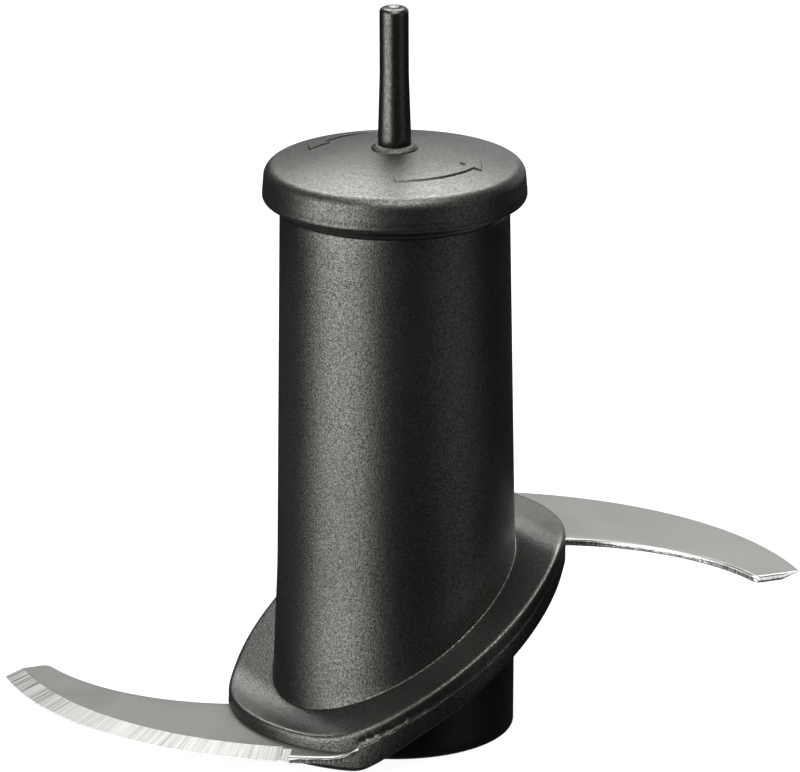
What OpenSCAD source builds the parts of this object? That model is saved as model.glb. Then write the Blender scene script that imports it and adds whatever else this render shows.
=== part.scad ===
// Chopping blade insert of a mini food chopper: a tall hollow hub that drops
// over the bowl's drive spindle, a one-piece S-shaped steel blade with a low
// and a high wing clamped in a slanted flange, and a capped top with a pin
// that the lid holds.
// Millimetres. Origin at the centre of the hub's bottom face, +Z up the hub.
// The blade climbs along +X: low wing at -X, high wing at +X.

/* [Hub column] */
// Height of the column's top edge above the bottom face
column_h = 80; // [70:1:95]
// Column radius at its top edge
column_r_top = 16.9; // [16.6:0.1:17.4]
// Column radius where it would meet the bottom plane
column_r_foot = 18.05; // [17.6:0.05:18.6]
// Radius of the bore that the column is fitted over its lower half with
spigot_bore_r = 15.2; // [14.9:0.05:15.4]
// Radius of the column's inside above the spigot
column_in_r = 14.6; // [14.2:0.1:14.7]

/* [Lower hub] */
// Radius of the foot at the bottom face
foot_r = 17.4; // [16.8:0.05:17.6]
// Radius of the foot under the high side of the flange
foot_r_top = 17.7; // [17.0:0.1:17.9]
// Radius of the space for the bowl's spindle collar
well_r = 13.8; // [12.5:0.1:13.9]
// Height of the spigot inside the column
spigot_h = 43.6; // [36:0.2:43.8]

/* [Flange] */
// Radius of the flange, seen from above
flange_r = 25.15; // [24.8:0.05:25.8]
// Thickness of the upper flange above the blade's middle plane
flange_up = 2.7; // [2.2:0.05:3]
// Thickness of the lower flange below the blade's middle plane
flange_down = 2.25; // [1.8:0.05:2.7]

/* [Blade] */
// Sheet thickness
blade_t = 1.1; // [0.8:0.05:1.4]
// Height of the low wing's middle plane
low_z = 2.85; // [2.8:0.05:6]
// Height of the high wing's middle plane
high_z = 27.15; // [22:0.05:30]
// Slope of the blade between the wings, in degrees
ramp_angle = 32.7; // [28:0.1:38]
// Turn of the ramp about the hub's axis, in degrees
ramp_turn = 8; // [0:0.5:10]
// Offset of the ramp's middle towards the high wing
ramp_shift = -0.15; // [-1.5:0.05:2]
// Radius of the two bends, at the middle of the sheet
bend_r = 5.5; // [4:0.5:10]
// Radius of the curved cutting edge
cut_r = 52.7; // [50:0.1:54]
// Radius of the hollow trailing edge
back_r = 34.5; // [32:0.1:36]
// Distance of the square-cut tip from the X axis
tip_y = 33.95; // [30:0.05:35]
// Width of the ground bevel
bevel_w = 3.3; // [2:0.1:4.5]
// Thickness left at the cutting edge
edge_t = 0.12; // [0.05:0.01:0.3]
// Distance from the Y axis where the grinding stops
bevel_end_x = 23.6; // [23:0.1:26]

/* [Cap] */
// Largest radius of the cap's rim
rim_r = 19.45; // [18.5:0.05:20.5]
// Height of the cap's crown above the column's top edge
crown_h = 9.0; // [8.6:0.1:10]
// Radius of the smooth neck under the rim
neck_r = 16.3; // [15.6:0.1:16.6]

/* [Lid pin] */
// Radius of the part of the pin that turns in the lid
pin_r = 2.15; // [2:0.05:2.3]
// Radius of the pin at its foot
pin_foot_r = 2.48; // [2.4:0.02:2.8]
// Height of the pin above the column's top edge
pin_h = 30.2; // [24:0.2:34]
// Radius of the shank that turns in the bush
shank_r = 2.30; // [2.2:0.05:2.35]
// Radial running clearance of the shank
shank_gap = 0.05; // [0.02:0.01:0.1]

/* [Drive] */
// Radius of the round drive bore
drive_r = 4.0; // [3.5:0.1:4.3]
// Width of the two keyways in the drive bore
key_w = 2.0; // [1.5:0.1:2.2]
// Height of the lower end of the drive stem
stem_z = 37.8; // [36:0.2:40]

/* [Hidden] */
$fn = 96;
eps = 0.01;

// The blade's middle line in the X-Z plane: flat, ramp, flat.
ramp_half = (high_z - low_z) / 2 / tan(ramp_angle);
bend0_x = ramp_shift - ramp_half;
bend1_x = ramp_shift + ramp_half;
half_tan = tan(ramp_angle / 2);
bend_steps = 4;
// Centres of the two cutting-edge arcs, right wing.
cut_c = [-2.4, -29.45];
back_c = [9.0, -38.45];
// Width that the grinding takes off the stamped outline.
stock = 0.4;
// The two mouldings meet at the level of the blade's top face.
part_o = blade_t / 2;
// Pegs that lock the blade between the flanges.
peg_at = [40, 140, 220, 320];
peg_ring = 20.2;
peg_r = 1.5;
// Inside of the column's top.
ledge_z = column_h - 13;
seat_r = 15.0;
screw_ring = 12;
screw_at = [90, 210, 330];
plate_t = 3.5;
thrust_t = 1.2;
crown_z = column_h + crown_h;
rim_round = 1.95;
plastic = [0.10, 0.10, 0.095];
steel = [0.72, 0.72, 0.70];

// ---- shared shapes -------------------------------------------------------

// Points along a bend of the middle line, in bend_steps short flats.
function bend(c, r, from, to) =
    [for (i = [0 : bend_steps]) let (a = from + (to - from) * i / bend_steps)
        c + r * [cos(a), sin(a)]];

// Everything above the blade's middle line, moved by o square to the sheet:
// low flat, hollow bend, ramp, round bend and high flat.
module above(o, reach = 90) {
    c0 = [bend0_x - bend_r * half_tan, low_z + bend_r];
    c1 = [bend1_x + bend_r * half_tan, high_z - bend_r];
    polygon(concat(
        [[-reach, low_z + o]],
        bend(c0, bend_r - o, -90, -90 + ramp_angle),
        bend(c1, bend_r + o, 90 + ramp_angle, 90),
        [[reach, high_z + o], [reach, reach + 40], [-reach, reach + 40]]));
}

// A shape of the X-Z plane, drawn out along the bend lines.
module along_bends(w = 60) {
    rotate(ramp_turn) rotate([90, 0, 0])
        linear_extrude(height = 2 * w, center = true) children();
}

// A layer of the bent sheet between two distances from its middle plane.
module layer(a, b) {
    along_bends() difference() { above(a, 80); above(b, 90); }
}

// The whole space above a distance from the middle plane.
module over(a) {
    along_bends() above(a, 80);
}

// Outline of one wing, g larger all round.
module wing(g = 0) {
    intersection() {
        difference() {
            union() {
                translate(cut_c) circle(cut_r + g);
                // unground root, as stamped
                intersection() {
                    translate(cut_c) circle(cut_r + stock + g);
                    square([bevel_end_x, 60]);
                }
            }
            translate(back_c) circle(back_r - g);
        }
        translate([6 - g, -tip_y - g]) square([90, 90]);
    }
}

// Outline of the blade before bending, with its round middle.
module blade_outline(g = 0) {
    union() {
        wing(g);
        rotate(180) wing(g);
        circle(24 + g);
    }
}

module ring(r_out, r_in, h) {
    difference() {
        cylinder(h = h, r = r_out);
        translate([0, 0, -1]) cylinder(h = h + 2, r = r_in);
    }
}

module at_each(angles, r) {
    for (a = angles) rotate(a) translate([r, 0, 0]) children();
}

// ---- pieces --------------------------------------------------------------

// One sheet of steel: two hooked wings, a bent middle, four peg holes.
module chopping_blade() {
    color(steel)
    difference() {
        intersection() {
            translate([0, 0, -10]) linear_extrude(height = 60) blade_outline();
            layer(-blade_t / 2, blade_t / 2);
        }
        translate([0, 0, -10]) cylinder(h = 60, r = spigot_bore_r + 0.05);
        translate([0, 0, -10]) at_each(peg_at, peg_ring) cylinder(h = 60, r = peg_r + 0.08, $fn = 32);
        // High wing: ground on its underside.
        difference() {
            translate([bevel_end_x, -60, high_z - 4]) cube([60, 120, 8]);
            translate([cut_c[0], cut_c[1], high_z - blade_t / 2])
                cylinder(h = blade_t, r1 = cut_r - bevel_w,
                         r2 = cut_r + bevel_w * edge_t / (blade_t - edge_t), $fn = 180);
        }
        // Low wing: ground on its top.
        rotate(180) difference() {
            translate([bevel_end_x, -60, low_z - 4]) cube([60, 120, 8]);
            translate([cut_c[0], cut_c[1], low_z - blade_t / 2])
                cylinder(h = blade_t, r2 = cut_r - bevel_w,
                         r1 = cut_r + bevel_w * edge_t / (blade_t - edge_t), $fn = 180);
        }
    }
}

// Column and upper flange in one moulding.
module upper_hub() {
    color(plastic)
    difference() {
        union() {
            difference() {
                union() {
                    intersection() {
                        translate([0, 0, -5]) cylinder(h = 50, r = flange_r);
                        layer(part_o, flange_up);
                    }
                    intersection() {
                        cylinder(h = column_h, r1 = column_r_foot, r2 = column_r_top);
                        over(part_o);
                    }
                }
                translate([0, 0, -5]) cylinder(h = 49, r = spigot_bore_r);
                translate([0, 0, -5]) cylinder(h = column_h, r = column_in_r);
                translate([0, 0, ledge_z]) cylinder(h = 40, r = seat_r);
            }
            // Screw bosses on the inside of the wall.
            at_each(screw_at, screw_ring) {
                translate([0, 0, ledge_z - 13]) cylinder(h = 13, r = 2.8, $fn = 40);
                translate([0, -1, ledge_z - 13]) cube([3.6, 2, 13]);
            }
        }
        at_each(screw_at, screw_ring)
            translate([0, 0, ledge_z - 11.5]) cylinder(h = 20, r = 1.47, $fn = 32);
        // Holes of the blade's pegs.
        intersection() {
            translate([0, 0, -10]) at_each(peg_at, peg_ring) cylinder(h = 60, r = peg_r + 0.04, $fn = 32);
            layer(-1, flange_up - 0.8);
        }
    }
}

// The seat of the blade in the lower flange.
module lower_seat() {
    intersection() {
        translate([0, 0, -10]) linear_extrude(height = 60) blade_outline(0.04);
        layer(-blade_t / 2, 1);
    }
}

// Foot, lower flange, spigot and blade pegs in one moulding.
module lower_hub() {
    color(plastic)
    difference() {
        union() {
            // flange
            difference() {
                intersection() {
                    translate([0, 0, -5]) cylinder(h = 50, r = flange_r);
                    layer(-flange_down, part_o);
                }
                lower_seat();
                translate([0, 0, -5]) cylinder(h = 60, r = foot_r - 0.65);
            }
            // foot
            difference() {
                difference() {
                    cylinder(h = 34, r1 = foot_r, r2 = foot_r_top);
                    over(part_o);
                }
                lower_seat();
            }
            // spigot
            translate([0, 0, 0.5]) cylinder(h = spigot_h - 0.5, r = spigot_bore_r - 0.04);
            // pegs
            intersection() {
                at_each(peg_at, peg_ring) cylinder(h = 60, r = peg_r, $fn = 32);
                layer(-blade_t / 2 - 0.5, flange_up - 0.9);
            }
        }
        // well, with a lead-in at its mouth
        translate([0, 0, -1]) rotate_extrude()
            polygon([[0, 0], [well_r + 0.8, 0], [well_r + 0.8, 1], [well_r, 1.8],
                     [well_r, spigot_h + 2], [0, spigot_h + 2]]);
    }
}

// Plate in the column's top with the stem that carries the drive insert.
module drive_core() {
    top = ledge_z + plate_t;
    color([0.16, 0.16, 0.16])
    difference() {
        union() {
            translate([0, 0, ledge_z]) cylinder(h = plate_t, r = seat_r - 0.05);
            translate([0, 0, stem_z]) cylinder(h = ledge_z - stem_z + 1, r = 9);
            for (a = [30, 150, 270]) rotate(a)
                translate([8.5, -0.8, ledge_z - 9]) cube([5.6, 1.6, 10]);
        }
        translate([0, 0, stem_z + 1.8]) cylinder(h = 60, r = 7.03, $fn = 6);
        translate([0, 0, stem_z + 0.5]) cylinder(h = 2, r = 5.3);
        translate([0, 0, stem_z - 1]) cylinder(h = 4, r = drive_r + 0.7);
        at_each(screw_at, screw_ring)
            translate([0, 0, ledge_z - 1]) cylinder(h = plate_t + 2, r = 1.7, $fn = 32);
    }
}

// Six-sided metal insert with the keyed round bore that takes the spindle.
module drive_insert() {
    color([0.75, 0.62, 0.36])
    translate([0, 0, stem_z + 1.8])
    difference() {
        cylinder(h = ledge_z + plate_t - stem_z - 1.8, r = 7.0, $fn = 6);
        translate([0, 0, -1]) cylinder(h = 60, r = drive_r);
        translate([-drive_r - 1, -key_w / 2, -1]) cube([2 * drive_r + 2, key_w, 60]);
    }
}

// Soft ring in the stem's mouth that keeps the hub on the spindle.
module spindle_ring() {
    color([0.55, 0.12, 0.10])
    translate([0, 0, stem_z + 1.15])
        rotate_extrude() translate([4.72, 0]) circle(0.56, $fn = 32);
}

// Steel disc over the stem: the spindle's tip bears on it.
module thrust_plate() {
    color(steel)
    translate([0, 0, ledge_z + plate_t])
    difference() {
        cylinder(h = thrust_t, r = seat_r - 0.4);
        at_each(screw_at, screw_ring)
            translate([0, 0, -1]) cylinder(h = thrust_t + 2, r = 1.7, $fn = 32);
    }
}

// Three pan-head screws: thrust plate and drive core to the column's bosses.
module core_screws() {
    color(steel)
    at_each(screw_at, screw_ring)
    translate([0, 0, ledge_z + plate_t + thrust_t])
    difference() {
        union() {
            cylinder(h = 1.7, r = 2.5, $fn = 40);
            translate([0, 0, -15]) cylinder(h = 15 + eps, r = 1.45, $fn = 32);
        }
        translate([-1.6, -0.3, 0.9]) cube([3.2, 0.6, 2]);
        translate([-0.3, -1.6, 0.9]) cube([0.6, 3.2, 2]);
    }
}

// Domed cap: spigot in the column, smooth neck, rounded rim, boss for the bush.
module top_cap() {
    rc = [rim_r - 0.2 - rim_round, column_h + 4.8];
    dome_r = 68;
    color(plastic)
    difference() {
        union() {
            rotate_extrude($fn = 128) {
                // spigot and neck
                translate([0, column_h - 5.8]) square([seat_r - 0.05, 6]);
                translate([0, column_h]) square([neck_r, 2]);
                // rim, leaning in a little towards its rounded shoulder
                polygon([[0, column_h + 1.2], [rim_r - 0.85, column_h + 1.2],
                         [rim_r - 0.25, column_h + 1.6], [rim_r, column_h + 2.5],
                         [rc[0] + rim_round, rc[1]], rc, [0, rc[1]]]);
                intersection() {
                    translate(rc) circle(rim_round);
                    translate(rc) square([5, 5]);
                }
                // crown
                intersection() {
                    translate([0, crown_z - dome_r]) circle(dome_r, $fn = 240);
                    translate([0, rc[1] - 0.5]) square([rc[0] + 0.35, 8]);
                }
            }
        }
        // inside, with a flat ceiling
        translate([0, 0, column_h - 7]) ring(12.2, 5.4, 12.6);
        translate([0, 0, column_h - 7]) cylinder(h = 6.8, r = 6);
        // seal groove
        translate([0, 0, column_h - 3.8]) ring(16, 13.5, 1.6);
        // seat of the bush
        translate([0, 0, column_h - 7]) cylinder(h = 20, r = 3.2);
    }
}

// Round ring between the cap's spigot and the column.
module cap_seal() {
    color([0.12, 0.12, 0.12])
    translate([0, 0, column_h - 3])
        rotate_extrude() translate([14.23, 0]) circle(0.7, $fn = 32);
}

// Plain bush in the cap with a conical collar that shows at the pin's foot.
module pin_bush() {
    color(plastic)
    difference() {
        union() {
            translate([0, 0, column_h - 0.2]) cylinder(h = crown_h + 0.2, r = 3.19);
            translate([0, 0, crown_z - 0.07]) cylinder(h = 0.67, r1 = 3.46, r2 = 2.62);
        }
        translate([0, 0, column_h - 2]) cylinder(h = 20, r = shank_r + shank_gap);
    }
}

// Pin that the lid holds: shank, tapered foot, round journal, rounded end.
module lid_pin() {
    z0 = column_h - 2.4;
    foot = crown_z + 0.7;
    tip = column_h + pin_h;
    color(plastic)
    difference() {
        rotate_extrude($fn = 64) {
            translate([0, z0]) square([shank_r, foot - z0 + 0.2]);
            polygon([[0, foot], [pin_foot_r, foot], [pin_r, tip - 10], [0, tip - 10]]);
            translate([0, tip - 10 - eps]) square([pin_r, 9.2]);
            translate([0, tip - 2]) square([pin_r - 0.8, 2]);
            translate([pin_r - 0.8, tip - 0.8]) intersection() {
                circle(0.8, $fn = 48);
                square([2, 2]);
            }
        }
        translate([0, 0, column_h - 1.05]) ring(4, 1.8, 0.7);
    }
}

// Open spring ring in the pin's groove, under the bush.
module pin_clip() {
    color(steel)
    translate([0, 0, column_h - 1])
    difference() {
        cylinder(h = 0.6, r = 4.2, $fn = 64);
        translate([0, 0, -1]) cylinder(h = 3, r = 1.83, $fn = 48);
        translate([0, -1.2, -1]) cube([6, 2.4, 3]);
    }
}

lid_pin();
pin_clip();
pin_bush();
top_cap();
cap_seal();
upper_hub();
lower_hub();
chopping_blade();
drive_core();
drive_insert();
spindle_ring();
thrust_plate();
core_screws();
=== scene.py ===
"""Looks of a chopping blade insert: textured black hub, satin steel S-blade,
domed cap with a lid pin. Lengths below are in millimetres and are turned into
metres when a mesh is made."""
import math

import bmesh
import bpy
import numpy as np
from mathutils import Matrix, Vector


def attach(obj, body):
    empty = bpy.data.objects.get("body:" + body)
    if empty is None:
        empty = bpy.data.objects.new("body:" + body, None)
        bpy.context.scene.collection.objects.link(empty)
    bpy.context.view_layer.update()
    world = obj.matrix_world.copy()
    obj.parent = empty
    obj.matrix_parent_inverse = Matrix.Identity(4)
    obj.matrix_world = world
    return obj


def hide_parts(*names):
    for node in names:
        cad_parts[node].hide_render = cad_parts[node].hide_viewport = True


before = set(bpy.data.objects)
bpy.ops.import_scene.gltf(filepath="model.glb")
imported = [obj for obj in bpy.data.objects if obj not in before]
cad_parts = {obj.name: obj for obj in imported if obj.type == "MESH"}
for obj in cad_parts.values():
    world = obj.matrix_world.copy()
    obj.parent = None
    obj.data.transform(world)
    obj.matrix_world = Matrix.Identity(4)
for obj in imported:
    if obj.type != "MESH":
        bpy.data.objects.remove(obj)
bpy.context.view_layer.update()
MM = 0.001
scene = bpy.context.scene
rng = np.random.RandomState(7)

# ---------------------------------------------------------------- the sheet
# Middle line of the blade: low flat, ramp, high flat. The ramp climbs in a
# direction turned a little from X.
LOW, HIGH, BEND, SHIFT = 2.85, 27.15, 5.5, -0.15
ANG, TURN = math.radians(32.7), math.radians(8.0)
SLOPE = math.tan(ANG)
HALF = (HIGH - LOW) / 2 / SLOPE
FLANGE_R, UP, DOWN, SHEET = 25.15, 2.7, 2.25, 1.1
BELLY = 1.15  # extra depth of the flange's underside just past the low bend
DISH = 0.5  # the flange's top sinks by this much towards the column
HOLLOW_R = 9.5  # soft hollow of the flange's top above the low bend


def sheet_z(x, y, o=0.0, low_r=None, high_r=None):
    """Height of the surface that lies o above the blade's middle plane; its
    two bends follow the sheet's unless radii are given."""
    u = np.asarray(x, float) * math.cos(TURN) + np.asarray(y, float) * math.sin(TURN)
    o = np.asarray(o, float) + 0 * u
    rl = BEND - o if low_r is None else low_r
    rh = BEND + o if high_r is None else high_r
    t = math.tan(ANG / 2)
    z = (LOW + HIGH) / 2 + SLOPE * (u - SHIFT) + o / math.cos(ANG)
    x0 = SHIFT - HALF - o * t - rl * t
    x1 = SHIFT + HALF - o * t + rh * t
    low = LOW + o + rl - np.sqrt(np.maximum(rl ** 2 - (u - x0) ** 2, 0))
    high = HIGH + o - rh + np.sqrt(np.maximum(rh ** 2 - (u - x1) ** 2, 0))
    z = np.where(u < x0 + rl * math.sin(ANG), low, z)
    z = np.where(u < x0, LOW + o, z)
    z = np.where(u > x1 - rh * math.sin(ANG), high, z)
    return np.where(u > x1, HIGH + o, z)


def wobble(t, seed, waves):
    """Smooth uneven curve of t, about -1 to 1, the same on each run."""
    r = np.random.RandomState(seed)
    out = 0 * np.asarray(t, float)
    for w in waves:
        out = out + r.uniform(0.5, 1.0) * np.sin(w * np.asarray(t, float) + r.uniform(0, 2 * math.pi))
    return out / (0.75 * len(waves))


# ------------------------------------------------------------- mesh helpers
def loft(rows, closed=True, start=None, end=None, first=0):
    """Quads between rings of points. A closed loft joins the last ring to the
    first; start and end are centre points that fill an open loft's ends."""
    n, m = len(rows[0]), len(rows)
    verts = np.concatenate(rows)
    faces = []
    for j in range(m if closed else m - 1):
        a, b = first + j * n, first + (j + 1) % m * n
        faces += [(a + i, b + i, b + (i + 1) % n, a + (i + 1) % n) for i in range(n)]
    for centre, ring in ((start, 0), (end, m - 1)):
        if centre is not None:
            k = first + len(verts)
            verts = np.vstack([verts, centre])
            faces += [(k, first + ring * n + i, first + ring * n + (i + 1) % n) for i in range(n)]
    return verts, faces


def mesh_of(name, verts, faces, indices=None, sharp=30, merge=2e-6):
    me = bpy.data.meshes.new(name)
    me.from_pydata([tuple(v) for v in np.asarray(verts, float) * MM], [], faces)
    if indices is not None:
        me.polygons.foreach_set("material_index", np.asarray(indices, np.int32))
    tidy(me, sharp, merge)
    return me


def tidy(me, sharp=30, merge=2e-6):
    bm = bmesh.new()
    bm.from_mesh(me)
    bmesh.ops.remove_doubles(bm, verts=bm.verts, dist=merge)
    bmesh.ops.dissolve_degenerate(bm, edges=bm.edges, dist=1e-7)
    loose = [v for v in bm.verts if not v.link_faces]
    bmesh.ops.delete(bm, geom=loose, context="VERTS")
    bmesh.ops.recalc_face_normals(bm, faces=bm.faces)
    if bm.calc_volume(signed=True) < 0:
        bmesh.ops.reverse_faces(bm, faces=bm.faces)
    bm.to_mesh(me)
    bm.free()
    me.shade_smooth()
    me.set_sharp_from_angle(angle=math.radians(sharp))


def solid(name, me):
    ob = bpy.data.objects.new(name, me)
    scene.collection.objects.link(ob)
    return ob


def combine(ob, tools, operation, sharp=30):
    """Joins or cuts closed tool shapes, and keeps the result as ob's mesh."""
    made = []
    for i, (verts, faces) in enumerate(tools):
        t = solid("tool%d" % i, mesh_of("tool", verts, faces))
        made.append(t)
        mod = ob.modifiers.new("join%d" % i, "BOOLEAN")
        mod.solver, mod.operation, mod.object = "EXACT", operation, t
    dg = bpy.context.evaluated_depsgraph_get()
    new = bpy.data.meshes.new_from_object(ob.evaluated_get(dg))
    ob.modifiers.clear()
    old, ob.data = ob.data, new
    bpy.data.meshes.remove(old)
    for t in made:
        me = t.data
        bpy.data.objects.remove(t)
        bpy.data.meshes.remove(me)
    tidy(ob.data, sharp)


def turned(profile, n=96):
    """Rings for a turned piece from its (radius, height) points."""
    a = np.linspace(0, 2 * math.pi, n, endpoint=False)
    return [np.stack([r * np.cos(a), r * np.sin(a), z + 0 * a], 1) for r, z in profile]


def post(x, y, r, z0, z1, n=32):
    """Closed round post; its two ends may be functions of the points."""
    a = np.linspace(0, 2 * math.pi, n, endpoint=False)
    px, py = x + r * np.cos(a), y + r * np.sin(a)
    lo = z0(px, py) if callable(z0) else z0 + 0 * px
    hi = z1(px, py) if callable(z1) else z1 + 0 * px
    return loft([np.stack([px, py, lo], 1), np.stack([px, py, hi], 1)], closed=False,
                start=[x, y, float(np.mean(lo))], end=[x, y, float(np.mean(hi))])


def block(corner, size, turn):
    """Closed box with one corner given, turned about Z."""
    p = np.array([[i, j, k] for i in (0, 1) for j in (0, 1) for k in (0, 1)], float) * size + corner
    c, s = math.cos(turn), math.sin(turn)
    p = np.stack([p[:, 0] * c - p[:, 1] * s, p[:, 0] * s + p[:, 1] * c, p[:, 2]], 1)
    return p, [(0, 1, 3, 2), (4, 6, 7, 5), (0, 4, 5, 1), (2, 3, 7, 6), (0, 2, 6, 4), (1, 5, 7, 3)]


def curve3(a, k, b, steps):
    """Points after a on the soft corner a-k-b, each a pair of arrays."""
    out = []
    for t in np.linspace(0, 1, steps + 1)[1:]:
        out.append(tuple((1 - t) ** 2 * np.asarray(p, float) + 2 * t * (1 - t) * np.asarray(q, float)
                         + t * t * np.asarray(e, float) for p, q, e in zip(a, k, b)))
    return out


def round_corner(cx, cz, r, a0, a1, steps):
    """Points on an arc in the profile plane, angles in degrees."""
    return [(cx + r * math.cos(math.radians(a)), cz + r * math.sin(math.radians(a)))
            for a in np.linspace(a0, a1, steps + 1)]


# -------------------------------------------------------------------- hub
# Where the wings leave the flange, in degrees about the hub's axis.
WING_FROM, WING_TO, SEAT_R = -17.3, 54.3, 25.03
edges = [WING_FROM, WING_TO, WING_FROM + 180, WING_TO + 180]
ragged = lambda d: any((d - e) % 360 < 36 for e in (WING_TO, WING_TO + 180))
deg = [d for d in np.arange(-180, 180, 0.25) if (abs(d - round(d)) < 1e-6 or ragged(d))
       and all(abs((d - e + 180) % 360 - 180) > 0.2 for e in edges)]
deg += [(e + s + 180) % 360 - 180 for e in edges for s in (-0.03, 0.03)]
deg = np.array(sorted(deg))
th = np.radians(deg)
ct, st = np.cos(th), np.sin(th)
in_wing = np.array([any((d - e) % 360 < WING_TO - WING_FROM for e in (WING_FROM, WING_FROM + 180)) for d in deg])
past = np.array([min((d - e) % 360 for e in (WING_TO, WING_TO + 180)) for d in deg])
rag = np.clip(past / 2.0, 0, 1) * np.clip((34 - past) / 16.0, 0, 1)
SCREWS = [90, 210, 330]
PEGS = [40, 140, 220, 320]


def ring(r, z):
    r, z = r + 0 * th, z + 0 * th
    return np.stack([r * ct, r * st, z], 1)


def on_sheet(r, o=0.0):
    return sheet_z(r * ct, r * st, o)


def flange_top(r):
    return sheet_z(r * ct, r * st, UP, low_r=HOLLOW_R) - DISH * np.clip((FLANGE_R - 0.6 - r) / 7.0, 0, 1)


def flange_base(r):
    """Underside of the flange; past the low bend it hangs a little fuller."""
    u = r * ct * math.cos(TURN) + r * st * math.sin(TURN)
    k = np.clip((u - SHIFT + HALF) / 11.0, 0, 1)
    full = sheet_z(r * ct, r * st, -DOWN, low_r=2.2) - BELLY * (1 - k * k * (3 - 2 * k))
    flat = LOW - DOWN
    return np.where(k < 1, 0.5 * (full + flat + np.sqrt((full - flat) ** 2 + 0.25)), full)


def column_r(z):
    k = np.clip((27.0 - z) / 17.0, 0, 1)
    return 18.05 - (18.05 - 16.9) * z / 80.0 + 0.42 * k * k * (3 - 2 * k)


def foot_r(z):
    return 17.4 + 0.3 * z / 34.0


def upper_hub():
    rows = [ring(15.0, 79.7), ring(15.3, 80.0)]
    rows += [ring(16.55 + 0.35 * math.sin(a), 79.65 + 0.35 * math.cos(a)) for a in np.radians([0, 22, 45, 67, 90])]
    rc = 17.7 + 0 * th
    for _ in range(6):
        rc = column_r(flange_top(rc))
    zj = flange_top(rc)
    f = 0.28
    for s in np.linspace(0, 1, 31)[1:]:
        z = 79.65 + (zj + f - 79.65) * s
        rows.append(ring(column_r(z), z))
    a = (column_r(zj + f), zj + f)
    b = (rc + f, flange_top(rc + f))
    rows += [ring(r, z) for r, z in curve3(a, (rc, zj), b, 6)]
    e, d = 0.75, 0.75
    for s in np.linspace(0, 1, 15)[1:]:
        r = rc + f + (FLANGE_R - e - rc - f) * s
        rows.append(ring(r, flange_top(r)))
    top = flange_top(FLANGE_R + 0 * th)
    rows += [ring(r, z) for r, z in curve3((FLANGE_R - e + 0 * th, flange_top(FLANGE_R - e + 0 * th)),
                                           (FLANGE_R + 0 * th, top), (FLANGE_R + 0 * th, top - d), 8)]
    low = on_sheet(FLANGE_R, 0.56)
    # the parting line's flash stands a little proud and wanders
    flash = np.where(in_wing, 0.0, 0.05 + 0.035 * wobble(th, 3, (5, 9, 17, 31, 53)))
    flash = flash + rag * 0.03 * np.clip(wobble(th, 5, (37, 59, 83, 127)), -0.8, 0.9)
    # a torn furrow runs above it where the blade comes out
    furrow = rag * np.clip(0.11 + 0.08 * wobble(th, 6, (23, 41, 67, 109)), 0, 0.25)
    edge = rag * 0.14 * wobble(th, 8, (19, 47, 89, 131))
    rows += [ring(FLANGE_R, low + 1.15 + edge), ring(FLANGE_R - furrow, low + 0.92 + edge),
             ring(FLANGE_R - 0.9 * furrow, low + 0.50), ring(FLANGE_R, low + 0.30),
             ring(FLANGE_R + 0.25 * flash, low + 0.16),
             ring(FLANGE_R + flash, low + 0.07), ring(FLANGE_R + flash - 0.03, low + 0.0),
             ring(SEAT_R, on_sheet(SEAT_R, 0.56))]
    rows += [ring(r, on_sheet(r, 0.56)) for r in (22.0, 19.0, 16.4, 15.2)]
    rows += [ring(15.2, 43.9), ring(15.1, 44.0), ring(14.6, 44.0), ring(14.6, 67.0), ring(15.0, 67.0)]
    ob = solid("hub_column", mesh_of("hub_column", *loft(rows)))
    bosses = []
    for k in SCREWS:
        c, s = math.cos(math.radians(k)), math.sin(math.radians(k))
        bosses.append(post(12 * c, 12 * s, 2.8, 54.0, 66.99, 40))
        bosses.append(block((12.0, -1.0, 54.02), (3.2, 2.0, 12.95), math.radians(k)))
    combine(ob, bosses, "UNION")
    holes = [post(12 * math.cos(math.radians(k)), 12 * math.sin(math.radians(k)), 1.47, 55.5, 70.0, 30) for k in SCREWS]
    holes += [post(20.2 * math.cos(math.radians(k)), 20.2 * math.sin(math.radians(k)), 1.54,
                   lambda x, y: sheet_z(x, y, -0.2), lambda x, y: sheet_z(x, y, UP - 0.8)) for k in PEGS]
    combine(ob, holes, "DIFFERENCE")
    return ob


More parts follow.
